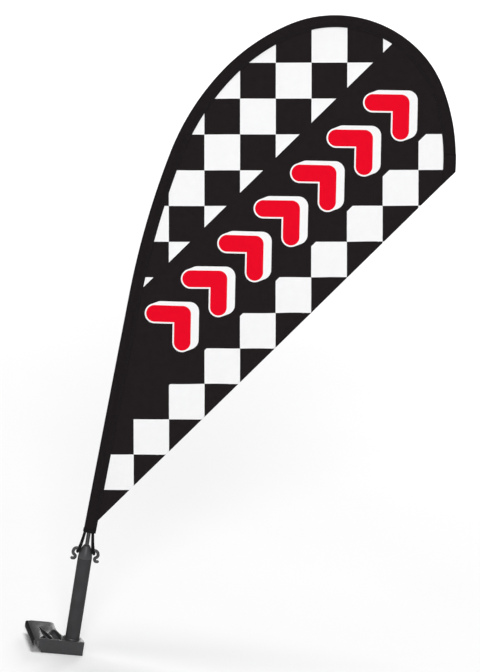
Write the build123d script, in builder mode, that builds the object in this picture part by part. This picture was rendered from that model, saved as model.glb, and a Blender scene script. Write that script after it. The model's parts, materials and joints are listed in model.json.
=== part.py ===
"""Clip-on teardrop flag, in millimetres.

A window clip carries an upright tube. A hook head turns in the tube's top, and a curved rod
stands in the head and stretches the sleeve of a printed flag. Two elastics hold the sleeve down
on the head's hooks.

The origin is the middle of the glass slot's ceiling, the slot runs along Y, the clip's lip is on
-X, and +Z is up. The flag lies in its own upright plane through the tube's axis, where u runs
across, w runs up from the clip's top, and n comes out of the plane.
"""

import os
from math import cos, radians, sin, tan

from build123d import *

os.makedirs("parts", exist_ok=True)

# Window clip
slot_width = 4.6  # clear width for the window's glass
clip_length = 51.0  # along the glass
lip_thickness = 2.0
lip_depth = 5.0  # from the slot's ceiling to the lip's lower edge
wall_depth = 7.0  # of the slot's other wall
wall_thickness = 2.2
plate_top = 2.6  # above the slot's ceiling
plate_bottom = -4.6
rib_bottom = -12.0  # lower edge of the deep front rib
pocket_depth = 5.0
pocket_front = -23.3  # the pockets' straight front wall, behind the rib
wall_slope = 50.0  # of the pockets' laid-back walls, in degrees from level
front_y = -clip_length / 2
slot_half = slot_width / 2
lip_outer = -slot_half - lip_thickness
clip_right = 48.5
arm_x = 23.7  # straight side of the arm
arm_corner = 4.5
side_end = -19.5  # of the clip's straight right side

# Strip round the lip's outer shoulder
strip_proud = 0.15
strip_depth = 0.8
strip_foot = -3.1

# Upright tube
tube_x, tube_y = 37.3, -15.5
tube_radius = 7.2
tube_bore = 4.1
tube_seat = 9.0  # depth of the tube's foot below the clip's top
boss_radius = 9.6
foot_cone_radius = 8.4
foot_cone_height = 1.2
web_x = tube_x - 14.0  # stiffening web under the plate
web_length = 14.0

# Heights above the clip's top (w)
tube_top = 86.9
head_seat = 87.0
head_shoulder = 87.9
head_rim = 100.5
spindle_foot = 38.0
bead_w = 42.0
ferrule_foot = 44.0
ferrule_top = 95.0
mouth_w = 115.3  # the sleeve's open lower end

# Hook head and elastics
running_gap = 0.06
spindle_radius = tube_bore - running_gap
rim_radius = 3.2
hook_wire = 1.6
elastic_radius = 1.6
elastic_eye_u = 7.2
elastic_top_u = {"left": -3.7, "right": 3.9}
mouth_gap = 0.6  # from the elastics' stems up to their sewn-in ends

# Rod
rod_radius = 2.0
ferrule_radius = 2.65
head_bore = ferrule_radius + 0.05
cap_radius = 2.6
cap_gap = 0.3

# Sleeve and flag
sleeve_width = 12.5
sleeve_half = 2.8  # half its thickness around the rod
cloth_wall = 0.5
seam_half = 0.6
seam_taper = 2.3  # width of the tapered stretch beside the seam
seam_allowance = 0.6  # sewn shut inside the seam
rod_inset = 3.2  # rod's centre from the sleeve's outer edge
panel_thickness = 0.6
flag_yaw = -12.0  # the flag's plane, turned about the tube
edge_start = (-5.6, mouth_w)
edge_lean = 1.85  # degrees from upright
edge_straight = 255.6
edge_arcs = [(900, 10.0), (269, 22.3), (201, 22.7), (113, 94.7)]  # radius, turn in degrees
last_radius = 214
last_turn = 23.8  # down to the flag's outer corner
pocket_turn = 5.0  # the part of it that the closed tip pocket covers
pocket_tail = 22.0  # past the corner, before the slanted cut
lower_end_w = 128.5  # where the flag's straight edge meets the sleeve
binding_height = 3.4
anchor_start = 0.2  # from the mouth to the sewn-in ends of the elastics
anchor_length = 6.0


# The flag's plane: x across (u), y up (w), z out towards the front (n)
yaw = radians(flag_yaw)
flag_plane = Plane(
    origin=(tube_x, tube_y, plate_top),
    x_dir=(cos(yaw), sin(yaw), 0),
    z_dir=(sin(yaw), -cos(yaw), 0),
)


def edge_line(inset, arcs, tail=0.0):
    """The sleeve's outer edge as tangent lines and arcs, moved inwards by inset."""
    lean = radians(edge_lean)
    start = Vector(edge_start[0] + inset * cos(lean), edge_start[1] - inset * sin(lean))
    along = Vector(sin(lean), cos(lean))
    run = Line(start, start + along * edge_straight)
    for radius, turn in arcs:
        run = JernArc(run @ 1, run % 1, radius - inset, -turn)
    if tail:
        run = Line(run @ 1, run @ 1 + (run % 1) * tail)
    return run


sleeve_arcs = edge_arcs + [(last_radius, last_turn - pocket_turn)]
whole_arcs = edge_arcs + [(last_radius, last_turn)]


def in_flag_plane(line):
    """A line drawn in flat coordinates, stood up in the flag's plane."""
    return flag_plane.from_local_coords(line.wire())


def section_plane(path, where=0.0):
    """A plane across a path in the flag's plane: x points to the flag's inside."""
    along = path % where
    inward = along.cross(flag_plane.z_dir)
    return Plane(origin=path @ where, x_dir=inward, z_dir=along)


def sleeve_outline(grow=0.0):
    """The sleeve's flat tube section: round at the outer edge, tapered to the seam."""
    half = sleeve_half + grow
    seam = seam_half + grow
    flat_end = sleeve_width - seam_taper
    with BuildSketch() as outline:
        with BuildLine():
            Polyline((sleeve_half, half), (flat_end, half), (sleeve_width, seam),
                     (sleeve_width, -seam), (flat_end, -half), (sleeve_half, -half))
            ThreePointArc((sleeve_half, -half), (-grow, 0), (sleeve_half, half))
        make_face()
    return outline.sketch


def sleeve_cavity():
    """The hollow inside the sleeve's section."""
    half = sleeve_half - cloth_wall
    flat_end = sleeve_width - seam_taper - 0.2
    with BuildSketch() as hollow:
        with BuildLine():
            Polyline((sleeve_half, half), (flat_end, half), (sleeve_width - seam_allowance, 0),
                     (flat_end, -half), (sleeve_half, -half))
            ThreePointArc((sleeve_half, -half), (cloth_wall, 0), (sleeve_half, half))
        make_face()
    return hollow.sketch


# Window clip --------------------------------------------------------------------------------

def strip_section():
    """The strip's section: up the lip's outer side and over its shoulder."""
    outside, inside = lip_outer - strip_proud, lip_outer + strip_depth
    with BuildSketch() as section:
        with BuildLine():
            rise = Line((outside, strip_foot), (outside, 0.7))
            over = ThreePointArc(rise @ 1, (lip_outer + 0.45, 1.65), (-2.6, 2.1))
            Polyline(over @ 1, (-2.5, 1.3), (inside, 0.5), (inside, strip_foot), rise @ 0)
        make_face()
    return section.sketch


def pocket(outline, floor_start, floor_end, laid_back=None):
    """A pocket's hollow: upright walls, a floor that falls to the front, and one laid-back wall."""
    (start_y, start_z), (end_y, end_z) = floor_start, floor_end
    above = plate_top + 1
    with BuildPart() as hollow:
        with BuildSketch(Plane.XY.offset(plate_bottom)):
            with BuildLine():
                Polyline(*outline, close=True)
            make_face()
        extrude(amount=above - plate_bottom)
        with BuildSketch(Plane.YZ):
            with BuildLine():
                Polyline((start_y, start_z), (start_y, above), (front_y, above),
                         (front_y, end_z), (end_y, end_z), close=True)
            make_face()
        extrude(amount=clip_right, mode=Mode.INTERSECT)
        if laid_back:
            near, far = Vector(*laid_back[0]), Vector(*laid_back[1])
            along = (far - near).normalized()
            slope = radians(wall_slope)
            facing = Vector(along.Y * sin(slope), -along.X * sin(slope), cos(slope))
            split(bisect_by=Plane(origin=near + Vector(0, 0, plate_top), z_dir=facing), keep=Keep.TOP)
    return hollow.part


pocket_floor = plate_top - pocket_depth
pockets = [
    # Long wedge beside the ridge
    pocket([(6.9, 9.5), (9.3, 0.5), (14.2, -12.1), (15.9, pocket_front), (12.3, pocket_front),
            (9.2, -17.2), (6.6, -11.0)], (9.8, 2.0), (-20, pocket_floor)),
    # Short pocket in the front corner
    pocket([(2.9, pocket_front), (8.1, -14.0), (8.5, -16.8), (11.4, pocket_front)],
           (-13, -0.4), (-20, pocket_floor + 0.9), laid_back=[(2.9, pocket_front), (8.1, -13.8)]),
    # Pocket along the arm
    pocket([(17.6, pocket_front), (25.0, pocket_front), (26.6, -12.0), (24.2, -3.2),
            (21.7, 4.0), (20.0, 4.8), (13.3, -7.5), (15.9, -13.0)],
           (6.5, 0.6), (-11, pocket_floor), laid_back=[(13.6, -7.3), (19.8, 4.1)]),
]

with BuildPart() as clip_body:
    # Plate with its arm, drawn out to the boss under the tube
    with BuildSketch(Plane.XY.offset(plate_bottom)):
        with BuildLine():
            near = Line((slot_half, front_y), (clip_right, front_y))
            side = Line(near @ 1, (clip_right, side_end))
            shoulder = Line(side @ 1, (tube_x + boss_radius, tube_y))
            boss = CenterArc((tube_x, tube_y), boss_radius, 0, 155)
            sweep_in = ThreePointArc(boss @ 1, (25.6, -3.6), (arm_x, 6.0))
            far_side = Line(sweep_in @ 1, (arm_x, -front_y - arm_corner))
            rounding = JernArc(far_side @ 1, (0, 1), arm_corner, 90)
            far_edge = Line(rounding @ 1, (slot_half, -front_y))
            Line(far_edge @ 1, near @ 0)
        make_face()
    extrude(amount=plate_top - plate_bottom)
    # Hook over the glass: bevelled top, lip with a flared foot, and the slot's other wall
    with BuildSketch(Plane.XZ.offset(front_y)):
        with BuildLine():
            Polyline((1.2, plate_top), (slot_half + wall_thickness, plate_top),
                     (slot_half + wall_thickness, -wall_depth), (slot_half, -wall_depth),
                     (slot_half, 0), (-slot_half, 0), (-slot_half, -lip_depth + 0.8),
                     (-slot_half - 0.5, -lip_depth), (lip_outer + 0.3, -lip_depth),
                     (lip_outer - 0.2, -lip_depth + 0.6), (lip_outer, strip_foot),
                     (lip_outer, 1.0), (-2.8, 1.8), close=True)
        make_face()
    extrude(amount=clip_length)
    # Groove for the strip
    with BuildSketch(Plane.XZ.offset(front_y)):
        add(strip_section())
    extrude(amount=clip_length, mode=Mode.SUBTRACT)
    # Deep front rib with cut-off lower corners
    with BuildSketch(Plane.XZ.offset(-front_y - wall_thickness)):
        with BuildLine():
            Polyline((slot_half, plate_top), (clip_right, plate_top), (clip_right, rib_bottom + 2),
                     (clip_right - 1.8, rib_bottom), (5.9, rib_bottom), (slot_half, -5.2), close=True)
        make_face()
    extrude(amount=wall_thickness)
    # Boss round the tube's foot, tied to the rib, with its cone on top
    with BuildSketch(Plane.XY.offset(rib_bottom)):
        with Locations((tube_x, tube_y)):
            Circle(boss_radius - 0.6)
        with Locations((clip_right - wall_thickness / 2, (front_y + side_end) / 2)):
            Rectangle(wall_thickness, side_end - front_y)
        with Locations((web_x, front_y + web_length / 2)):
            Rectangle(wall_thickness, web_length)
        with Locations((tube_x, (front_y + tube_y) / 2)):
            Rectangle(wall_thickness, tube_y - front_y)
    extrude(amount=plate_top - rib_bottom)
    with BuildSketch(Plane.XZ.offset(-tube_y)):
        with BuildLine():
            Polyline((tube_x, plate_top), (tube_x + foot_cone_radius, plate_top),
                     (tube_x + foot_cone_radius, plate_top + 0.7),
                     (tube_x + tube_radius + 0.5, plate_top + foot_cone_height),
                     (tube_x, plate_top + foot_cone_height), close=True)
        make_face()
    revolve(axis=Axis((tube_x, tube_y, 0), (0, 0, 1)))
    with Locations((tube_x, tube_y, plate_top + foot_cone_height)):
        Hole(tube_radius, depth=foot_cone_height + tube_seat)
    for hollow in pockets:
        add(hollow, mode=Mode.SUBTRACT)

with BuildPart() as bumper_strip:
    with BuildSketch(Plane.XZ.offset(front_y)):
        add(strip_section())
    extrude(amount=clip_length)

with BuildPart() as socket_tube:
    with BuildSketch(Plane.XY.offset(plate_top - tube_seat)):
        with Locations((tube_x, tube_y)):
            Circle(tube_radius)
    extrude(amount=tube_seat + tube_top)
    chamfer(socket_tube.edges().sort_by(Axis.Z)[-1], 0.4)
    with Locations((tube_x, tube_y, plate_top + tube_top)):
        Hole(tube_bore, depth=tube_top + tube_seat - 3)
    # Groove that the spindle's bead snaps into
    with BuildSketch(Plane.XY.offset(plate_top + bead_w - 1)):
        with Locations((tube_x, tube_y)):
            Circle(tube_bore + 0.5)
    extrude(amount=2, mode=Mode.SUBTRACT)

# Hook head ----------------------------------------------------------------------------------

hook_points = [(3.0, 94.2), (11.3, 97.2), (13.3, 90.3), (9.6, 87.9), (10.4, 84.4), (13.0, 84.9)]
hook_radii = [3.5, 3.5, 1.95, 1.95]
hook_mirror = Plane(origin=flag_plane.origin, z_dir=flag_plane.x_dir)

with BuildPart() as hook:
    with BuildLine() as hook_line:
        FilletPolyline(*hook_points, radius=hook_radii)
    hook_path = in_flag_plane(hook_line)
    with BuildSketch(Plane(origin=hook_path @ 0, z_dir=hook_path % 0)):
        Circle(hook_wire)
    sweep(path=hook_path)
    with Locations(hook_path @ 1):
        Sphere(hook_wire)

with BuildPart() as hook_head:
    with BuildSketch(flag_plane):
        with BuildLine():
            Polyline((0, spindle_foot), (spindle_radius - 0.8, spindle_foot),
                     (spindle_radius, spindle_foot + 0.8), (spindle_radius, bead_w - 0.7),
                     (spindle_radius + 0.35, bead_w), (spindle_radius, bead_w + 0.7),
                     (spindle_radius, head_seat), (tube_radius, head_seat),
                     (tube_radius, head_shoulder))
            ThreePointArc((tube_radius, head_shoulder), (5.9, 94.4), (rim_radius, head_rim))
            Polyline((rim_radius, head_rim), (head_bore, head_rim), (head_bore, ferrule_foot),
                     (0, ferrule_foot), (0, spindle_foot))
        make_face()
    revolve(axis=Axis(flag_plane.origin, flag_plane.y_dir))
    add(hook.part)
    mirror(hook.part, about=hook_mirror)
    # The hooks' roots stop at the bore's wall
    with BuildSketch(Plane.XY.offset(plate_top + ferrule_foot)):
        with Locations((tube_x, tube_y)):
            Circle(head_bore)
    extrude(amount=head_rim - ferrule_foot + 1, mode=Mode.SUBTRACT)


def elastic(side):
    """An elastic: an eye round the hook's arm, and a stem up into the sleeve's mouth."""
    sign = 1 if elastic_top_u[side] > 0 else -1
    root, knee = Vector(*hook_points[0]), Vector(*hook_points[1])
    arm = (knee - root).normalized()
    eye_radius = hook_wire + elastic_radius + 0.15
    eye = root + arm * ((elastic_eye_u - root.X) / arm.X)
    eye = Vector(sign * eye.X, eye.Y)
    arm = Vector(sign * arm.X, arm.Y)
    stem_foot = flag_plane.from_local_coords(eye + Vector(0, eye_radius - 0.3))
    stem_head = flag_plane.from_local_coords(Vector(elastic_top_u[side], mouth_w - mouth_gap))
    across = flag_plane.from_local_coords(arm) - flag_plane.origin
    with BuildPart() as piece:
        with Locations(Plane(origin=flag_plane.from_local_coords(eye), z_dir=across)):
            Torus(eye_radius, elastic_radius)
        with BuildSketch(Plane(origin=stem_foot, z_dir=stem_head - stem_foot)):
            Circle(elastic_radius)
        extrude(amount=(stem_head - stem_foot).length)
    return piece


elastic_left = elastic("left")
elastic_right = elastic("right")

# Rod and its ends ---------------------------------------------------------------------------

# The rod leaves the head upright, then bends gently onto a line parallel to the sleeve's edge
lean = radians(edge_lean)
parallel_u = edge_start[0] + rod_inset * cos(lean)
parallel_w = edge_start[1] - rod_inset * sin(lean)
crossing_w = parallel_w - parallel_u / tan(lean)
bend_radius = 2400
bend_run = bend_radius * tan(lean / 2)

with BuildLine() as rod_line:
    foot = Line((0, ferrule_foot), (0, crossing_w - bend_run))
    bend = JernArc(foot @ 1, foot % 1, bend_radius, -edge_lean)
    used = ((bend @ 1) - Vector(parallel_u, parallel_w)).length
    run = Line(bend @ 1, bend @ 1 + (bend % 1) * (edge_straight - used))
    for radius, turn in edge_arcs:
        run = JernArc(run @ 1, run % 1, radius - rod_inset, -turn)
    run = JernArc(run @ 1, run % 1, last_radius - rod_inset, -(last_turn - pocket_turn))
    last = JernArc(run @ 1, run % 1, last_radius - rod_inset, -pocket_turn / 2)
rod_path = in_flag_plane(rod_line)

with BuildPart() as rod:
    with BuildSketch(Plane(origin=rod_path @ 0, z_dir=rod_path % 0)):
        Circle(rod_radius)
    sweep(path=rod_path)

with BuildPart() as rod_ferrule:
    with BuildSketch(Plane.XY.offset(plate_top + ferrule_foot)):
        with Locations((tube_x, tube_y)):
            Circle(ferrule_radius)
            Circle(rod_radius, mode=Mode.SUBTRACT)
    extrude(amount=ferrule_top - ferrule_foot)


def rounded_end(line, radius):
    """A round bar along a line in the flag's plane, with a ball on its end."""
    path = in_flag_plane(line)
    with BuildPart() as bar:
        with BuildSketch(Plane(origin=path @ 0, z_dir=path % 0)):
            Circle(radius)
        sweep(path=path)
        with Locations(path @ 1):
            Sphere(radius)
    return bar.part


with BuildLine() as cap_line:
    JernArc(last @ 0.1, last % 0.1, last_radius - rod_inset, -pocket_turn * 0.45)

with BuildPart() as rod_tip_cap:
    add(rounded_end(cap_line, cap_radius))
    add(rod.part, mode=Mode.SUBTRACT)

# Sleeve -------------------------------------------------------------------------------------

with BuildLine() as outer_line:
    sleeve_end = edge_line(0, sleeve_arcs)
outer_path = in_flag_plane(outer_line)

with BuildPart() as sleeve:
    with BuildSketch(section_plane(outer_path)):
        add(sleeve_outline())
        add(sleeve_cavity(), mode=Mode.SUBTRACT)
    sweep(path=outer_path)

with BuildPart() as mouth_binding:
    with BuildSketch(section_plane(outer_path)):
        add(sleeve_outline(grow=0.4))
        add(sleeve_outline(), mode=Mode.SUBTRACT)
    extrude(amount=binding_height)

with BuildPart() as elastic_anchor:
    with BuildSketch(section_plane(outer_path, anchor_start / outer_path.length)):
        add(sleeve_cavity())
        with Locations((-edge_start[0], 0)):
            Rectangle(2 * rod_radius + 0.5, 2 * sleeve_half, mode=Mode.SUBTRACT)
    extrude(amount=anchor_length)

# Closed tip pocket and panel ----------------------------------------------------------------

with BuildLine() as tip_line:
    tip_arc = JernArc(sleeve_end @ 1, sleeve_end % 1, last_radius, -pocket_turn)
    Line(tip_arc @ 1, tip_arc @ 1 + (tip_arc % 1) * pocket_tail)
tip_path = in_flag_plane(tip_line)

corner = tip_arc @ 1
inner_foot = Vector(edge_start[0] + sleeve_width + (lower_end_w - mouth_w) * tan(lean), lower_end_w)
along_edge = (corner - inner_foot).normalized()
below_edge = Vector(along_edge.Y, -along_edge.X)

# Everything past the flag's straight edge, in flat coordinates
cut_margin = 60.0  # past both ends of the edge
cut_depth = 150.0
high = corner + along_edge * cut_margin
low = inner_foot - along_edge * cut_margin
with BuildSketch() as below_the_edge:
    with BuildLine():
        Polyline(high, low, low + below_edge * cut_depth, high + below_edge * cut_depth, close=True)
    make_face()

with BuildLine() as cavity_line:
    JernArc(last @ 0, last % 0, last_radius - rod_inset, -pocket_turn / 2)

with BuildPart() as tip_pocket:
    with BuildSketch(section_plane(tip_path)):
        add(sleeve_outline())
    sweep(path=tip_path)
    with BuildSketch(flag_plane):
        add(below_the_edge.sketch)
    extrude(amount=20, both=True, mode=Mode.SUBTRACT)
    add(rounded_end(cavity_line, cap_radius + cap_gap), mode=Mode.SUBTRACT)

with BuildPart() as flag_panel:
    with BuildSketch(flag_plane):
        with BuildLine():
            seam = edge_line(sleeve_width, whole_arcs, pocket_tail)
            lean_across = Vector(cos(lean), -sin(lean))
            Line(seam @ 1, Vector(*edge_start) + lean_across * sleeve_width)
        make_face()
        add(below_the_edge.sketch, mode=Mode.SUBTRACT)
    extrude(amount=panel_thickness / 2, both=True)

# Pieces -------------------------------------------------------------------------------------

pieces = {
    "clip_body": clip_body,
    "bumper_strip": bumper_strip,
    "socket_tube": socket_tube,
    "hook_head": hook_head,
    "elastic_left": elastic_left,
    "elastic_right": elastic_right,
    "rod": rod,
    "rod_ferrule": rod_ferrule,
    "rod_tip_cap": rod_tip_cap,
    "sleeve": sleeve,
    "mouth_binding": mouth_binding,
    "elastic_anchor": elastic_anchor,
    "tip_pocket": tip_pocket,
    "flag_panel": flag_panel,
}
for name, piece in pieces.items():
    piece.part.label = name
    export_step(piece.part, f"parts/{name}.step")
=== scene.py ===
"""Looks for the clip-on teardrop flag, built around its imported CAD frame.

The flag lies in an upright plane through the tube's axis. Places on it are given in millimetres
as u (across), w (up from the clip's top) and n (out towards the front), as in the CAD model.
"""

import json
from math import cos, hypot, pi, radians, sin

import bmesh
import bpy
import numpy as np
from mathutils import Matrix, Vector


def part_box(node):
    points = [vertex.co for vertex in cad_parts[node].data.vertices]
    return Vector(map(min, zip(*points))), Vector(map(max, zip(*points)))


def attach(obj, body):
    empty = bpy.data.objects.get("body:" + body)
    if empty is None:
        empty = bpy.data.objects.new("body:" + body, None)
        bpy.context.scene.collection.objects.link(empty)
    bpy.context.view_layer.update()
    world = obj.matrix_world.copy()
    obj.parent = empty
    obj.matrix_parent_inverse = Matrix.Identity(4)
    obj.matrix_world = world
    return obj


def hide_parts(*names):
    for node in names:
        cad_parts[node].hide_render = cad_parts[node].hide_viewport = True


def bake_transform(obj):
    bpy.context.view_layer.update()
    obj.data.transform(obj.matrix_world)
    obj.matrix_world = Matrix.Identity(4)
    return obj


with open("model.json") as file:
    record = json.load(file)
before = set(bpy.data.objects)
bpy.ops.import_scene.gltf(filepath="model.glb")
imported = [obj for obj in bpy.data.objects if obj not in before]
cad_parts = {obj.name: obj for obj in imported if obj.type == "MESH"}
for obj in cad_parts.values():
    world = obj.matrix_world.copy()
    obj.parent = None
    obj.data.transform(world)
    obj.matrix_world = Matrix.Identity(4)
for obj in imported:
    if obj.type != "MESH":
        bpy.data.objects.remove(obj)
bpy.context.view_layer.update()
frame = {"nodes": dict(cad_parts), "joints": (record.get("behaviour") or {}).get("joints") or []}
MM = 0.001

# ---- places shared with the CAD model (mm) ----
SWIVEL = next(j for j in frame["joints"] if j["name"] == "head_swivel")
TUBE_AXIS = Vector((SWIVEL["pos_m"][0], SWIVEL["pos_m"][1], 0))
CLIP_TOP = 2.6
FLAG_YAW = radians(-12)
MOUTH_W = 115.3
EDGE_START = np.array((-5.6, MOUTH_W))
EDGE_LEAN = radians(1.85)
EDGE_STRAIGHT = 255.6
EDGE_ARCS = [(900, 10.0), (269, 22.3), (201, 22.7), (113, 94.7), (214, 23.8)]
SLEEVE_WIDTH = 12.5
LOWER_END_W = 128.5
HOOK_WIRE = 1.6

ACROSS = Vector((cos(FLAG_YAW), sin(FLAG_YAW), 0))
FRONT = Vector((sin(FLAG_YAW), -cos(FLAG_YAW), 0))
UP = Vector((0, 0, 1))
ORIGIN = TUBE_AXIS + UP * CLIP_TOP * MM


def place(uwn):
    """Points of the flag's plane, (u, w, n) in mm, as world points in metres."""
    uwn = np.atleast_2d(np.asarray(uwn, float))
    axes = np.array([ACROSS, UP, FRONT])
    return np.array(ORIGIN) + (uwn * MM) @ axes


# ---- camera first ----
def make_camera():
    azimuth, elevation, roll = radians(-12), radians(19), radians(9.1)
    distance, frame_height = 18.0, 0.6764
    aim_side, aim_top = 0.1689, 0.304  # from the tube's foot to the middle of the view
    right = Vector((cos(azimuth), sin(azimuth), 0))
    forward = Vector((-sin(azimuth) * cos(elevation), cos(azimuth) * cos(elevation), -sin(elevation)))
    up = right.cross(forward)
    side = right * cos(roll) + up * sin(roll)
    top = up * cos(roll) - right * sin(roll)
    aim = ORIGIN + side * aim_side + top * aim_top
    data = bpy.data.cameras.new("camera")
    data.sensor_fit = "VERTICAL"
    data.sensor_height = 36
    data.lens = 36 * distance / frame_height
    data.clip_start, data.clip_end = 1.0, 60.0
    camera = bpy.data.objects.new("camera", data)
    bpy.context.scene.collection.objects.link(camera)
    turn = Matrix((side, top, -forward)).transposed().to_4x4()
    camera.matrix_world = Matrix.Translation(aim - forward * distance) @ turn
    bpy.context.scene.camera = camera


make_camera()


# ---- node helpers ----
class Sums:
    """Builds chains of Math nodes from plain calls."""

    def __init__(self, tree):
        self.tree = tree

    def __call__(self, kind, *values):
        node = self.tree.nodes.new("ShaderNodeMath")
        node.operation = kind
        for socket, value in zip(node.inputs, values):
            if isinstance(value, (int, float)):
                socket.default_value = value
            else:
                self.tree.links.new(value, socket)
        return node.outputs[0]


def new_material(name, roughness=0.5, specular=0.5, sheen=0.0):
    material = bpy.data.materials.new(name)
    material.use_nodes = True
    shader = material.node_tree.nodes["Principled BSDF"]
    shader.inputs["Roughness"].default_value = roughness
    shader.inputs["Specular IOR Level"].default_value = specular
    shader.inputs["Sheen Weight"].default_value = sheen
    return material, material.node_tree, shader


def noise(tree, scale, detail=3.0, rough=0.55, vector=None):
    node = tree.nodes.new("ShaderNodeTexNoise")
    node.inputs["Scale"].default_value = scale
    node.inputs["Detail"].default_value = detail
    node.inputs["Roughness"].default_value = rough
    if vector is None:
        vector = tree.nodes.new("ShaderNodeTexCoord").outputs["Object"]
    tree.links.new(vector, node.inputs["Vector"])
    return node.outputs["Fac"]


def ramp(tree, fac, low, high, start=0.3, stop=0.7):
    """A value between two colours, for a factor between start and stop."""
    node = tree.nodes.new("ShaderNodeValToRGB")
    node.color_ramp.elements[0].position = start
    node.color_ramp.elements[0].color = (*low, 1)
    node.color_ramp.elements[1].position = stop
    node.color_ramp.elements[1].color = (*high, 1)
    tree.links.new(fac, node.inputs["Fac"])
    return node.outputs["Color"]


def bump(tree, shader, height, strength, distance):
    node = tree.nodes.new("ShaderNodeBump")
    node.inputs["Strength"].default_value = strength
    node.inputs["Distance"].default_value = distance
    tree.links.new(height, node.inputs["Height"])
    tree.links.new(node.outputs["Normal"], shader.inputs["Normal"])


def mix_colour(tree, factor, under, over):
    node = tree.nodes.new("ShaderNodeMix")
    node.data_type = "RGBA"
    tree.links.new(factor, node.inputs["Factor"])
    for socket, value in ((node.inputs["A"], under), (node.inputs["B"], over)):
        if isinstance(value, tuple):
            socket.default_value = (*value, 1)
        else:
            tree.links.new(value, socket)
    return node.outputs["Result"]


def uv(tree, layer):
    """The two coordinates of a UV layer."""
    node = tree.nodes.new("ShaderNodeUVMap")
    node.uv_map = layer
    split = tree.nodes.new("ShaderNodeSeparateXYZ")
    tree.links.new(node.outputs["UV"], split.inputs["Vector"])
    return split.outputs["X"], split.outputs["Y"]


def weave_height(tree, sums, x, y, pitch):
    """Over-and-under threads of a plain weave, x and y in mm."""
    a = sums("MULTIPLY", x, pi / pitch)
    b = sums("MULTIPLY", y, pi / pitch)
    warp = sums("ABSOLUTE", sums("SINE", a))
    weft = sums("ABSOLUTE", sums("SINE", b))
    both = sums("ADD", sums("FLOOR", sums("DIVIDE", x, pitch)), sums("FLOOR", sums("DIVIDE", y, pitch)))
    odd = sums("FLOORED_MODULO", both, 2.0)
    over = sums("MULTIPLY", odd, warp)
    under = sums("MULTIPLY", sums("SUBTRACT", 1.0, odd), weft)
    return sums("ADD", over, under)


# ---- materials ----
INK_BLACK = (0.0125, 0.0098, 0.0104)
INK_WHITE = (0.93, 0.93, 0.935)
INK_RED = (0.80, 0.002, 0.018)


def moulded_plastic(name, base, roughness, specular):
    """Dark satin plastic with a fine moulded grain and slight flow marks."""
    material, tree, shader = new_material(name, roughness, specular)
    flow = noise(tree, 60, 2)
    light = tuple(c * 1.25 for c in base)
    tree.links.new(ramp(tree, flow, base, light, 0.35, 0.75), shader.inputs["Base Color"])
    sums = Sums(tree)
    grain = noise(tree, 2200, 2, 0.5)
    patch = noise(tree, 140, 2)
    rough = sums("ADD", sums("MULTIPLY", patch, 0.12), roughness - 0.06)
    tree.links.new(rough, shader.inputs["Roughness"])
    bump(tree, shader, grain, 0.22, 0.00012)
    return material


def rubber(name, base):
    material, tree, shader = new_material(name, 0.8, 0.06)
    speck = noise(tree, 900, 3)
    tree.links.new(ramp(tree, speck, base, tuple(c * 1.6 for c in base)), shader.inputs["Base Color"])
    bump(tree, shader, speck, 0.3, 0.0001)
    return material


def glass_fibre(name):
    """Drawn rod: fine streaks along its length under a thin gloss."""
    material, tree, shader = new_material(name, 0.34, 0.5)
    shader.inputs["Coat Weight"].default_value = 0.12
    shader.inputs["Coat Roughness"].default_value = 0.2
    coord = tree.nodes.new("ShaderNodeTexCoord")
    stretch = tree.nodes.new("ShaderNodeMapping")
    stretch.inputs["Scale"].default_value = (1.0, 1.0, 0.02)
    tree.links.new(coord.outputs["Object"], stretch.inputs["Vector"])
    streak = noise(tree, 2600, 4, 0.6, stretch.outputs["Vector"])
    dark, light = (0.014, 0.014, 0.015), (0.038, 0.038, 0.041)
    tree.links.new(ramp(tree, streak, dark, light), shader.inputs["Base Color"])
    bump(tree, shader, streak, 0.2, 0.0001)
    return material


def turned_metal(name):
    material, tree, shader = new_material(name, 0.3, 0.5)
    shader.inputs["Metallic"].default_value = 1.0
    coord = tree.nodes.new("ShaderNodeTexCoord")
    rings = tree.nodes.new("ShaderNodeMapping")
    rings.inputs["Scale"].default_value = (0.02, 0.02, 1.0)
    tree.links.new(coord.outputs["Object"], rings.inputs["Vector"])
    lines = noise(tree, 3000, 3, 0.6, rings.outputs["Vector"])
    tree.links.new(ramp(tree, lines, (0.42, 0.43, 0.45), (0.68, 0.69, 0.71)), shader.inputs["Base Color"])
    bump(tree, shader, lines, 0.2, 0.0001)
    return material


def black_cloth(name, base, pitch=0.42, layer="cloth"):
    """Black woven polyester: plain weave over the piece's own millimetre layout."""
    material, tree, shader = new_material(name, 0.85, 0.06)
    sums = Sums(tree)
    x, y = uv(tree, layer)
    threads = weave_height(tree, sums, x, y, pitch)
    slub = noise(tree, 220, 3)
    # Painted shade: the colour is darker in the weave's hollows and lighter on the thread crowns, following
    # the thread height; the slub noise adds random yarn tone.
    shade = sums("ADD", sums("MULTIPLY", threads, 0.35), sums("MULTIPLY", slub, 0.5))
    low, high = tuple(c * 0.8 for c in base), tuple(c * 1.5 for c in base)
    tree.links.new(ramp(tree, shade, low, high, 0.2, 0.9), shader.inputs["Base Color"])
    bump(tree, shader, threads, 0.55, 0.00015)
    return material


# The print: checks laid slightly askew to the pole, in mm of the flag's plane
CHECK_ORIGIN = np.array((28.03, 469.4))
CHECK_ACROSS = np.array((35.1, 5.99))
CHECK_UP = np.array((-5.61, 37.08))
TO_CHECKS = np.linalg.inv(np.array([CHECK_ACROSS, CHECK_UP]))
CHECK_FIRST = -2.0  # the first column of checks, at the flag's lower end
BAND_SLOPE, BAND_TOP, BAND_BOTTOM = 0.9757, -1.578, -5.033
SHAPE_COUNT = 7
SHAPE_FIRST = (0.171, -3.236)
SHAPE_LAST = (6.295, 2.663)
SHAPE_STROKE = 0.235  # half the stroke's width, in checks
SHAPE_NOSE, SHAPE_TAIL, SHAPE_HALF = 0.30, -0.26, 0.56  # apex and ends of each arm
SHAPE_OUTLINE = 0.042
SHADOW_STEPS = 4
SHADOW_SHIFT = (0.185, 0.070)


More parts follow.
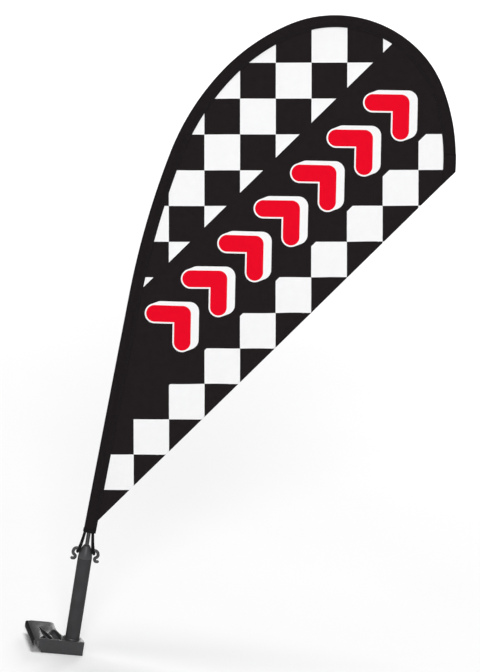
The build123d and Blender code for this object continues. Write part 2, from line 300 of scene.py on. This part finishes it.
def chevron_distance(sums, k, j):
    """How far a place is from the middle line of the nearest chevron, in check units."""
    run = (SHAPE_LAST[0] - SHAPE_FIRST[0], SHAPE_LAST[1] - SHAPE_FIRST[1])
    length = hypot(*run)
    cx, cy = run[0] / length, run[1] / length
    pitch = length / (SHAPE_COUNT - 1)
    dk = sums("SUBTRACT", k, SHAPE_FIRST[0])
    dj = sums("SUBTRACT", j, SHAPE_FIRST[1])
    along = sums("ADD", sums("MULTIPLY", dk, cx), sums("MULTIPLY", dj, cy))
    wide = sums("ABSOLUTE", sums("SUBTRACT", sums("MULTIPLY", dj, cx), sums("MULTIPLY", dk, cy)))
    turn = sums("ADD", sums("DIVIDE", along, pitch), 0.5)
    index = sums("MINIMUM", sums("MAXIMUM", sums("FLOOR", turn), 0.0), SHAPE_COUNT - 1.0)
    local = sums("MULTIPLY", sums("SUBTRACT", sums("SUBTRACT", turn, index), 0.5), pitch)
    arm = (SHAPE_TAIL - SHAPE_NOSE, SHAPE_HALF)
    square = arm[0] ** 2 + arm[1] ** 2
    ahead = sums("SUBTRACT", local, SHAPE_NOSE)
    reach = sums("ADD", sums("MULTIPLY", ahead, arm[0] / square), sums("MULTIPLY", wide, arm[1] / square))
    reach = sums("MINIMUM", sums("MAXIMUM", reach, 0.0), 1.0)
    off_along = sums("SUBTRACT", ahead, sums("MULTIPLY", reach, arm[0]))
    off_wide = sums("SUBTRACT", wide, sums("MULTIPLY", reach, arm[1]))
    return sums("SQRT", sums("ADD", sums("POWER", off_along, 2.0), sums("POWER", off_wide, 2.0)))


def printed_cloth(name):
    """White polyester printed with black checks, a black band and a row of red chevrons."""
    material, tree, shader = new_material(name, 0.85, 0.05)
    sums = Sums(tree)
    k, j = uv(tree, "art")
    x, y = uv(tree, "cloth")
    parity = sums("FLOORED_MODULO", sums("ADD", sums("FLOOR", k), sums("FLOOR", j)), 2.0)
    even = sums("LESS_THAN", parity, 0.5)
    slope = sums("MULTIPLY", k, BAND_SLOPE)
    above = sums("GREATER_THAN", j, sums("ADD", slope, BAND_TOP))
    below = sums("LESS_THAN", j, sums("ADD", slope, BAND_BOTTOM))
    checks = sums("MULTIPLY", even, sums("MAXIMUM", above, below))
    white = sums("MULTIPLY", checks, sums("GREATER_THAN", k, CHECK_FIRST))
    for step in range(SHADOW_STEPS + 1):
        share = step / SHADOW_STEPS
        moved_k = sums("SUBTRACT", k, SHADOW_SHIFT[0] * share)
        moved_j = sums("SUBTRACT", j, SHADOW_SHIFT[1] * share)
        distance = chevron_distance(sums, moved_k, moved_j)
        white = sums("MAXIMUM", white, sums("LESS_THAN", distance, SHAPE_STROKE + SHAPE_OUTLINE))
    red = sums("LESS_THAN", chevron_distance(sums, k, j), SHAPE_STROKE)
    threads = weave_height(tree, sums, x, y, 0.45)
    slub = noise(tree, 160, 3)
    # Painted shade: each colour is darker in the weave's hollows and lighter on the thread crowns, following
    # the thread height; the slub noise adds random yarn tone.
    weave_shade_and_slub = sums("ADD", sums("MULTIPLY", threads, 0.5), sums("MULTIPLY", slub, 0.5))
    black_ink = ramp(tree, weave_shade_and_slub, tuple(c * 0.85 for c in INK_BLACK), tuple(c * 1.35 for c in INK_BLACK))
    white_cloth = ramp(tree, weave_shade_and_slub, tuple(c * 0.94 for c in INK_WHITE), INK_WHITE)
    red_ink = ramp(tree, weave_shade_and_slub, tuple(c * 0.94 for c in INK_RED), tuple(min(1, c * 1.05) for c in INK_RED))
    colour = mix_colour(tree, white, black_ink, white_cloth)
    colour = mix_colour(tree, red, colour, red_ink)
    tree.links.new(colour, shader.inputs["Base Color"])
    bump(tree, shader, threads, 0.4, 0.00012)
    return material


CLIP_PLASTIC = moulded_plastic("clip_plastic", (0.029, 0.029, 0.031), 0.36, 0.48)
TUBE_PLASTIC = moulded_plastic("tube_plastic", (0.043, 0.043, 0.045), 0.55, 0.05)
HEAD_PLASTIC = moulded_plastic("head_plastic", (0.05, 0.05, 0.053), 0.42, 0.3)
# Near-black, for the rod's tip cap and for the strip along the clip's lip, which gives the lip its
# near-black band.
BLACK_RUBBER = rubber("strip_rubber", (0.009, 0.009, 0.0095))
ROD_FIBRE = glass_fibre("rod_fibreglass")
FERRULE_METAL = turned_metal("ferrule_metal")
SLEEVE_CLOTH = black_cloth("sleeve_fabric", INK_BLACK)
BINDING_TAPE = black_cloth("binding_tape", (0.010, 0.0095, 0.0098), 0.7)
ELASTIC_COVER = black_cloth("elastic_cord", (0.009, 0.009, 0.0095), 0.5)
PRINTED_CLOTH = printed_cloth("printed_fabric")
THREAD = black_cloth("thread", (0.020, 0.019, 0.020), 0.3)


# ---- mesh helpers ----
def make_piece(name, points, faces, material, layers=None, smooth=True):
    """A mesh from world points in metres; layers maps a UV layer's name to a value per point."""
    mesh = bpy.data.meshes.new(name)
    mesh.from_pydata([tuple(p) for p in points], [], [tuple(f) for f in faces])
    mesh.materials.append(material)
    corners = np.zeros(len(mesh.loops), int)
    mesh.loops.foreach_get("vertex_index", corners)
    for layer, values in (layers or {}).items():
        data = mesh.uv_layers.new(name=layer)
        data.data.foreach_set("uv", np.asarray(values, float)[corners].ravel())
    mesh.polygons.foreach_set("use_smooth", [smooth] * len(mesh.polygons))
    mesh.update()
    piece = bpy.data.objects.new(name, mesh)
    bpy.context.scene.collection.objects.link(piece)
    return piece


def apply_modifiers(piece):
    """Bakes a piece's modifiers into its mesh."""
    graph = bpy.context.evaluated_depsgraph_get()
    mesh = bpy.data.meshes.new_from_object(piece.evaluated_get(graph))
    piece.modifiers.clear()
    piece.data = mesh


def grid_faces(rows, columns, wrap=False):
    """Quads between rows of points; wrap joins each row's end to its start."""
    last = columns if wrap else columns - 1
    faces = []
    for r in range(rows - 1):
        for c in range(last):
            d = (c + 1) % columns
            faces.append((r * columns + c, r * columns + d, (r + 1) * columns + d, (r + 1) * columns + c))
    return faces


# ---- the sleeve's edge as a function of the length along it ----
class Edge:
    """The sleeve's outer edge: a straight run, tangent arcs, and a straight tail."""

    def __init__(self):
        heading = EDGE_LEAN
        start = EDGE_START
        self.runs = [(0.0, start, heading, 0.0)]
        length = EDGE_STRAIGHT
        start = start + length * np.array((sin(heading), cos(heading)))
        for radius, turn in EDGE_ARCS:
            self.runs.append((length, start, heading, radius))
            centre = start + radius * np.array((cos(heading), -sin(heading)))
            heading += radians(turn)
            start = centre - radius * np.array((cos(heading), -sin(heading)))
            length += radius * radians(turn)
        self.corner, self.length = start, length
        self.runs.append((length, start, heading, 0.0))

    def at(self, s, x):
        """The point s along the edge and x inwards, in (u, w)."""
        begin, start, heading, radius = [r for r in self.runs if r[0] <= max(s, 0.0)][-1]
        step = s - begin
        if radius == 0:
            point = start + step * np.array((sin(heading), cos(heading)))
        else:
            turned = heading + step / radius
            centre = start + radius * np.array((cos(heading), -sin(heading)))
            point = centre - radius * np.array((cos(turned), -sin(turned)))
            heading = turned
        return point + x * np.array((cos(heading), -sin(heading)))


EDGE = Edge()
SEAM_START = (LOWER_END_W - EDGE.at(0, SLEEVE_WIDTH)[1]) / cos(EDGE_LEAN)
INNER_FOOT = EDGE.at(SEAM_START, SLEEVE_WIDTH)
LOWER_RUN = EDGE.corner - INNER_FOOT
LOWER_LENGTH = float(np.hypot(*LOWER_RUN))
LOWER_ALONG = LOWER_RUN / LOWER_LENGTH
LOWER_OUT = np.array((LOWER_ALONG[1], -LOWER_ALONG[0]))


def above_lower_edge(point):
    """How far a point lies inside the flag's straight edge."""
    return float((INNER_FOOT - point) @ LOWER_OUT)


def crossing(x):
    """How far along the edge the line x inside it meets the straight lower edge."""
    low, high = EDGE.length - 30, EDGE.length + 40
    for _ in range(40):
        middle = (low + high) / 2
        if above_lower_edge(EDGE.at(middle, x)) > 0:
            low = middle
        else:
            high = middle
    return low


def ease(value):
    """A smooth step from 0 to 1."""
    value = np.clip(value, 0, 1)
    return value * value * (3 - 2 * value)


FULLNESS = 1.3  # how far the panel's middle stands out of its plane


def cloth_relief(u, w):
    """Gentle fullness of the panel: slack between the seam and the straight edge, in mm."""
    from_edge = (INNER_FOOT[0] - u) * LOWER_OUT[0] + (INNER_FOOT[1] - w) * LOWER_OUT[1]
    along = (u - INNER_FOOT[0]) * LOWER_ALONG[0] + (w - INNER_FOOT[1]) * LOWER_ALONG[1]
    t = along / LOWER_LENGTH
    ends = np.sin(pi * np.clip(t, 0, 1))
    billow = FULLNESS * ends * np.exp(-((from_edge - 70) / 75) ** 2)
    pull = 0.9 * ends * np.exp(-from_edge / 38) * np.sin(2 * pi * (from_edge / 34 + 0.6 * t))
    ripple = 0.7 * np.sin(0.055 * u + 0.028 * w) * np.sin(0.021 * w - 0.034 * u + 1.3)
    return billow + pull + ripple * ends


# ---- cloth pieces ----
def art_and_cloth(uw):
    """UV layers of printed pieces: the print in checks, and the weave in mm."""
    return {"art": (uw - CHECK_ORIGIN) @ TO_CHECKS, "cloth": uw}


SEAM_TUCK = 0.9  # how far the panel reaches into the sleeve's seam
SEAM_STOP = crossing(SLEEVE_WIDTH - SEAM_TUCK)
HEM_LENGTH = float(np.hypot(*(EDGE.at(SEAM_STOP, SLEEVE_WIDTH - SEAM_TUCK) - INNER_FOOT)))
PANEL_ROWS, PANEL_COLUMNS = 230, 80


def panel_point(f, t):
    """A flat place on the panel: f runs up the seam, t from the seam to the straight edge."""
    seam = EDGE.at(SEAM_START + (SEAM_STOP - SEAM_START) * f, SLEEVE_WIDTH - SEAM_TUCK)
    hem = INNER_FOOT + LOWER_ALONG * (HEM_LENGTH * f)
    return seam + (hem - seam) * t, float(np.hypot(*(hem - seam))) * t


def panel_height(uw, away):
    """How far the hung panel stands out of its plane, in mm."""
    hold = ease(away / 26)
    pucker = 0.22 * np.exp(-away / 7) * np.sin(uw[:, 1] * 0.9 + uw[:, 0] * 0.9)
    return cloth_relief(uw[:, 0], uw[:, 1]) * hold + pucker


def make_panel():
    """The printed sheet: a grid ruled from the sleeve's seam to the straight edge."""
    flat = [panel_point(r / (PANEL_ROWS - 1), c / (PANEL_COLUMNS - 1))
            for r in range(PANEL_ROWS) for c in range(PANEL_COLUMNS)]
    uw = np.array([f[0] for f in flat])
    away = np.array([f[1] for f in flat])
    points = place(np.column_stack((uw, panel_height(uw, away))))
    panel = make_piece("flag_sheet", points, grid_faces(PANEL_ROWS, PANEL_COLUMNS), PRINTED_CLOTH,
                       art_and_cloth(uw))
    tidy = bmesh.new()
    tidy.from_mesh(panel.data)
    bmesh.ops.remove_doubles(tidy, verts=tidy.verts, dist=0.02 * MM)
    tidy.to_mesh(panel.data)
    tidy.free()
    thicken(panel, 0.35)
    return panel


def thicken(piece, thickness, offset=0.0):
    """Gives a cloth piece its thickness in mm; offset -1 grows it inwards, 0 both ways."""
    solid = piece.modifiers.new("thickness", "SOLIDIFY")
    solid.thickness = thickness * MM
    solid.offset = offset
    apply_modifiers(piece)


def make_hem():
    """The folded hem along the straight edge, turned to the back and sewn down."""
    rows, columns, width = 200, 7, 8.0
    uw, n = [], []
    for r in range(rows):
        f = 0.012 + 0.976 * r / (rows - 1)
        seam, _ = panel_point(f, 0)
        hem, span = panel_point(f, 1)
        fold = min(width, span * 0.9)
        inward = (seam - hem) / span
        for c in range(columns):
            t = c / (columns - 1)
            spot = hem + inward * fold * t
            uw.append(spot)
            n.append(-0.5 - 0.14 * sin(pi * t) + 0.05 * sin(r * 0.9) * t)
    uw = np.array(uw)
    away = np.full(len(uw), 100.0)
    points = place(np.column_stack((uw, panel_height(uw, away) + np.array(n))))
    hem = make_piece("flag_hem", points, grid_faces(rows, columns), PRINTED_CLOTH, art_and_cloth(uw))
    thicken(hem, 0.35)
    return hem


MOUTH_FLARE = 48.0  # how far up the sleeve its open mouth stays full right across
ROUND_WIDTH = 2.9  # the sleeve's round part, from its outer edge
ROUND_HALF, SEAM_HALF = 2.7, 0.55  # half its thickness there and at the seam
POCKET_TURN = radians(5.0)  # the part of the last arc that the tip pocket covers


def sleeve_half(x, s):
    """Half the sleeve's thickness at x from its outer edge: full round the rod, flat at the seam."""
    round_part = ROUND_HALF * np.sqrt(np.clip(1 - ((x - ROUND_WIDTH) / ROUND_WIDTH) ** 2, 0, 1))
    swell = ROUND_HALF - SEAM_HALF
    closed = SEAM_HALF + swell * (1 - ease((x - ROUND_WIDTH) / 7.4))
    opened = SEAM_HALF + swell * (1 - ease((x - 8.8) / 3.7))
    tapered = closed + (opened - closed) * (1 - ease(s / MOUTH_FLARE))
    return np.where(x < ROUND_WIDTH, round_part, tapered)


ROUND_XS = ROUND_WIDTH * (1 - np.cos(np.linspace(0, pi / 2, 8)))
SLEEVE_XS = np.concatenate((ROUND_XS, np.linspace(3.6, SLEEVE_WIDTH, 13)))
POCKET_START = EDGE.length - EDGE_ARCS[-1][0] * POCKET_TURN


def gathers(s, x):
    """Small gathers of the sleeve, deeper where its edge bends hard, in mm."""
    tight = ease((s - 380) / 160) * (1 - ease((s - 800) / 60))
    swing = sin(s * 0.29 + 0.9 * sin(s * 0.043)) + 0.6 * sin(s * 0.71 + 1.1)
    across = sin(pi * min(x / SLEEVE_WIDTH, 1.0))
    creep = 0.35 * sin(s * 0.052 + 0.6) * across
    return (0.10 + 0.16 * tight) * swing * across + creep * 0.5


def sleeve_ring(place_on_edge, flatten=1.0, grow=0.0):
    """Points round the sleeve's section; place_on_edge gives s for each x."""
    ring, layout = [], []
    for side in (1, -1):
        order = range(len(SLEEVE_XS)) if side > 0 else range(len(SLEEVE_XS) - 1, 0, -1)
        for i in order:
            x = float(SLEEVE_XS[i])
            s = place_on_edge(x)
            reach = (float(sleeve_half(x, s)) + grow) * flatten + (1 - flatten) * 0.4
            if x < 0.01:
                reach = 0.0
            u, w = EDGE.at(s, x - grow * (1 if x < ROUND_WIDTH else 0))
            ring.append((u, w, side * (reach + gathers(s, x) * flatten * (0 if x < 0.5 else 1))))
            layout.append((s, x + (0 if side > 0 else 2 * (SLEEVE_WIDTH - x) + 3)))
    return ring, layout


def tube_piece(name, rings, material, cap_end=False):
    """A cloth tube through rings of points, with its weave laid out in mm."""
    columns = len(rings[0][0])
    points = place([p for ring, _ in rings for p in ring])
    layout = [q for _, rows in rings for q in rows]
    faces = grid_faces(len(rings), columns, wrap=True)
    if cap_end:
        last = (len(rings) - 1) * columns
        half = columns // 2
        faces += [(last + i, last + i + 1, last + columns - 1 - i, last + (columns - i) % columns)
                  for i in range(1, half)]
        faces.append((last, last + 1, last + columns - 1))
    return make_piece(name, points, faces, material, {"cloth": layout})


def make_sleeve():
    """The pole sleeve: one woven tube along the curved edge, open at its lower end."""
    count = 420
    rings = [sleeve_ring(lambda x, s=POCKET_START * i / (count - 1): s) for i in range(count)]
    sleeve = tube_piece("pole_sleeve", rings, SLEEVE_CLOTH)
    thicken(sleeve, 0.45, -1.0)
    return sleeve


def make_tip():
    """The closed tip pocket at the outer corner, cut off along the flag's straight edge."""
    count = 34
    stops = {float(x): crossing(float(x)) for x in SLEEVE_XS}
    rings = []
    for i in range(count):
        t = i / (count - 1)
        flatten = 1 - ease((t - 0.62) / 0.38) * 0.9
        rings.append(sleeve_ring(lambda x, t=t: POCKET_START + (stops[x] - POCKET_START) * t, flatten, 0.22))
    return tube_piece("tip_pocket_cloth", rings, SLEEVE_CLOTH, cap_end=True)


def make_binding():
    """Bound edge round the sleeve's mouth: a folded ribbed tape."""
    profile = [(-0.35, 0.0), (-0.45, 0.28), (-0.1, 0.42), (1.6, 0.46), (3.1, 0.42), (3.4, 0.2), (3.35, 0.02)]
    rings = [sleeve_ring(lambda x, s=s: s, 1.0, grow) for s, grow in profile]
    return tube_piece("mouth_tape", rings, BINDING_TAPE)


def make_stitches(name, spots, material, length=2.3, thick=0.2, layers=None):
    """A row of sewn stitches. Each spot is its (u, w, n), its direction in the plane, and its side."""
    points, faces, flat = [], [], []
    sides = 6
    for spot, along, face in spots:
        base = len(points)
        across = np.array((-along[1], along[0], 0.0))
        ahead = np.array((along[0], along[1], 0.0))
        out = np.array((0.0, 0.0, face))
        points.append(np.array(spot) - ahead * length / 2 - out * thick * 0.8)
        for step in (-0.34, 0.34):
            for k in range(sides):
                turn = 2 * pi * k / sides
                points.append(np.array(spot) + ahead * length * step
                              + (across * cos(turn) + out * sin(turn)) * thick)
        points.append(np.array(spot) + ahead * length / 2 - out * thick * 0.8)
        flat += [spot[:2]] * (2 * sides + 2)
        for k in range(sides):
            m = (k + 1) % sides
            faces.append((base, base + 1 + m, base + 1 + k))
            faces.append((base + 1 + k, base + 1 + m, base + 1 + sides + m, base + 1 + sides + k))
            faces.append((base + 1 + sides + k, base + 1 + sides + m, base + 1 + 2 * sides))
    flat = np.array(flat)
    return make_piece(name, place(points), faces, material, layers(flat) if layers else {"cloth": flat})


SEAM_STITCH_PITCH, HEM_STITCH_PITCH = 3.1, 3.0


def sleeve_seam_spots():
    """Two rows of stitches beside the sleeve's seam, on both faces."""
    spots = []
    for x in (10.3, 11.7):
        count = int((POCKET_START - 6) / SEAM_STITCH_PITCH)
        for i in range(count):
            s = 5 + i * SEAM_STITCH_PITCH
            spot, ahead = EDGE.at(s, x), EDGE.at(s + 1, x)
            along = (ahead - spot) / np.hypot(*(ahead - spot))
            reach = float(sleeve_half(x, s)) + gathers(s, x) + 0.1
            for face in (1, -1):
                spots.append(((*spot, face * reach), along, face))
    return spots


def tip_seam_spots():
    """A row of stitches across the tip pocket's mouth, on both faces."""
    spots = []
    for x in np.arange(1.6, 10.0, 2.9):
        s = POCKET_START + 2.2
        spot, ahead = EDGE.at(s, x), EDGE.at(s, x + 1)
        along = (ahead - spot) / np.hypot(*(ahead - spot))
        reach = float(sleeve_half(x, s)) + gathers(s, x) + 0.3
        for face in (1, -1):
            spots.append(((*spot, face * reach), along, face))
    return spots


def hem_spots():
    """The row of stitches that holds the hem."""
    spots = []
    count = int(HEM_LENGTH / HEM_STITCH_PITCH)
    for i in range(5, count - 5):
        f = i / count
        seam, _ = panel_point(f, 0)
        hem, span = panel_point(f, 1)
        spot = hem + (seam - hem) / span * min(6.6, span * 0.7)
        lift = float(panel_height(np.array([spot]), np.array([100.0]))[0])
        spots.append(((*spot, lift + 0.24), LOWER_ALONG, 1))
        spots.append(((*spot, lift - 0.86), LOWER_ALONG, -1))
    return spots


# ---- elastics ----
HOOK_ROOT, HOOK_KNEE = np.array((3.0, 94.2)), np.array((11.3, 97.2))
ELASTIC_EYE_U = 7.2
ELASTIC_RADIUS = 1.6
ELASTIC_THIN = 0.2  # thinner where it is stretched into the mouth
ELASTIC_TOP_U = {"left": -3.2, "right": 3.3}


def elastic_line(side):
    """Centre line of one elastic: down from the mouth, round the hook's arm, and back up."""
    sign = -1 if side == "left" else 1
    arm = (HOOK_KNEE - HOOK_ROOT) / np.hypot(*(HOOK_KNEE - HOOK_ROOT))
    eye = HOOK_ROOT + arm * (ELASTIC_EYE_U - HOOK_ROOT[0]) / arm[0]
    rise = np.array((-arm[1] * sign, arm[0], 0.0))
    centre = np.array((eye[0] * sign, eye[1], 0.0))
    out = np.array((0.0, 0.0, 1.0))
    wrap = HOOK_WIRE + ELASTIC_RADIUS + 0.1
    top = np.array((ELASTIC_TOP_U[side], MOUTH_W + 3.0, 0.8))
    pull = np.array((ELASTIC_TOP_U[side] - centre[0], MOUTH_W - centre[1], -1.6))
    arm_pull = 16  # how far a leg follows the arm's own rise before it bends to the mouth
    leg = []
    for t in np.linspace(0, 1, 46)[1:]:
        h = np.array((2 * t**3 - 3 * t**2 + 1, t**3 - 2 * t**2 + t, -2 * t**3 + 3 * t**2, t**3 - t**2))
        leg.append(h[0] * (centre + out * wrap) + h[1] * rise * arm_pull + h[2] * top + h[3] * pull)
    turn = [centre + out * wrap * cos(a) - rise * wrap * sin(a) for a in np.linspace(0, pi, 25)]
    mirror = np.array((1, 1, -1))
    return [p for p in reversed(leg)] + turn + [p * mirror for p in leg]


def make_elastic(side):
    """Braided elastic: a tube whose cover shows two crossing sets of strands."""
    line = np.array(elastic_line(side))
    steps = np.hypot.reduce(np.diff(line, axis=0), axis=1)
    length = np.concatenate(([0], np.cumsum(steps)))
    count, around = 330, 28
    spread = np.linspace(0, length[-1], count)
    centre = np.column_stack([np.interp(spread, length, line[:, k]) for k in range(3)])
    for _ in range(3):
        centre[1:-1] = (centre[:-2] + 2 * centre[1:-1] + centre[2:]) / 4
    ahead = np.gradient(centre, axis=0)
    ahead /= np.linalg.norm(ahead, axis=1)[:, None]
    frame_side = np.array((1.0, 0.0, 0.0))
    points, layout = [], []
    for i in range(count):
        frame_side = frame_side - ahead[i] * (frame_side @ ahead[i])
        frame_side /= np.linalg.norm(frame_side)
        up = np.cross(ahead[i], frame_side)
        thick = ELASTIC_RADIUS - ELASTIC_THIN * abs(2 * i / (count - 1) - 1)
        for k in range(around):
            a = 2 * pi * k / around
            left = sin(4 * a + spread[i] * 1.7)
            right = sin(4 * a - spread[i] * 1.7)
            radius = thick - 0.14 + 0.13 * max(left, right)
            points.append(centre[i] + (frame_side * cos(a) + up * sin(a)) * radius)
            layout.append((spread[i], a * ELASTIC_RADIUS))
    faces = grid_faces(count, around, wrap=True)
    faces += [tuple(range(around))[::-1], tuple((count - 1) * around + k for k in range(around))]
    return make_piece(f"elastic_loop_{side}", place(points), faces, ELASTIC_COVER, {"cloth": layout})


# ---- moulded pieces ----
def softened(node, name, material, width):
    """A copy of a moulded CAD piece with its sharp edges rounded, as a mould leaves them."""
    mesh = frame["nodes"][node].data.copy()
    mesh.name = name
    shell = bmesh.new()
    shell.from_mesh(mesh)
    bmesh.ops.remove_doubles(shell, verts=shell.verts, dist=0.004 * MM)
    bmesh.ops.dissolve_limit(shell, angle_limit=radians(1.5), verts=shell.verts, edges=shell.edges)
    shell.to_mesh(mesh)
    shell.free()
    mesh.materials.clear()
    mesh.materials.append(material)
    piece = bpy.data.objects.new(name, mesh)
    bpy.context.scene.collection.objects.link(piece)
    bevel = piece.modifiers.new("mould_radius", "BEVEL")
    bevel.width = width * MM
    bevel.segments = 3
    bevel.limit_method = "ANGLE"
    bevel.angle_limit = radians(32)
    apply_modifiers(piece)
    piece.data.polygons.foreach_set("use_smooth", [True] * len(piece.data.polygons))
    piece.data.set_sharp_from_angle(angle=radians(40))
    return piece


# ---- the pieces, and the bodies they ride on ----
panel = make_panel()
hem = make_hem()
hem_stitching = make_stitches("hem_stitching", hem_spots(), PRINTED_CLOTH, layers=art_and_cloth)
sleeve = make_sleeve()
tip = make_tip()
binding = make_binding()
sleeve_stitching = make_stitches("sleeve_stitching", sleeve_seam_spots() + tip_seam_spots(), THREAD)
elastics = {side: make_elastic(side) for side in ("left", "right")}
clip = softened("clip_body", "clip_shell", CLIP_PLASTIC, 0.55)

for piece, slot in ((panel, "printed_fabric"), (hem, "printed_fabric"), (hem_stitching, "printed_fabric"),
                    (sleeve, "sleeve_fabric"), (tip, "sleeve_fabric"), (binding, "binding_tape"),
                    (sleeve_stitching, "sleeve_fabric")):
    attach(piece, "flag")
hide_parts("flag_panel")
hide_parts("sleeve")
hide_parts("tip_pocket")
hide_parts("mouth_binding")
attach(clip, "base")
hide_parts("clip_body")
for side, elastic in elastics.items():
    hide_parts(f"elastic_{side}")
    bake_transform(elastic)


# ---- floor, light ----
def make_floor():
    low = min(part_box(n)[0].z for n in frame["nodes"])
    half = 12.0
    points = [(-half, -half, low), (half, -half, low), (half, half, low), (-half, half, low)]
    material, tree, shader = new_material("floor", 0.9, 0.2)
    tone = noise(tree, 3, 2)
    tree.links.new(ramp(tree, tone, (0.90, 0.90, 0.905), (0.92, 0.92, 0.925)), shader.inputs["Base Color"])
    floor = make_piece("floor", points, [(0, 1, 2, 3)], material, smooth=False)


def area_light(name, position, size, power, target):
    data = bpy.data.lights.new(name, "AREA")
    data.shape = "DISK"
    data.size = size
    data.energy = power
    light = bpy.data.objects.new(name, data)
    bpy.context.scene.collection.objects.link(light)
    light.location = position
    light.rotation_euler = (Vector(target) - Vector(position)).to_track_quat("-Z", "Y").to_euler()


def make_light():
    world = bpy.data.worlds.new("studio")
    world.use_nodes = True
    background = world.node_tree.nodes["Background"]
    background.inputs["Color"].default_value = (1.0, 1.0, 1.0, 1)
    background.inputs["Strength"].default_value = 0.16
    bpy.context.scene.world = world
    middle = (0.15, -0.03, 0.35)
    area_light("overhead", (0.2, 0.7, 14.0), 7.0, 1220, (0.2, 0.7, 0.0))
    area_light("key", (-0.7, -3.3, 1.7), 1.2, 68, middle)
    area_light("rim", (1.3, 2.6, 1.1), 1.2, 30, middle)
    bpy.context.scene.view_settings.view_transform = "Standard"


make_floor()
make_light()


# ---- carried-over CAD pieces ----
CAD_LOOKS = {
    "socket_tube": TUBE_PLASTIC,
    "hook_head": HEAD_PLASTIC,
    # The strip along the lip's outer side takes the tip cap's near-black and makes the lip's near-black
    # band.
    "bumper_strip": BLACK_RUBBER,
    "rod": ROD_FIBRE,
    "rod_ferrule": FERRULE_METAL,
    "rod_tip_cap": BLACK_RUBBER,
    "elastic_anchor": BINDING_TAPE,
}
for node, look in CAD_LOOKS.items():
    for slot in frame["nodes"][node].material_slots:
        slot.material = look
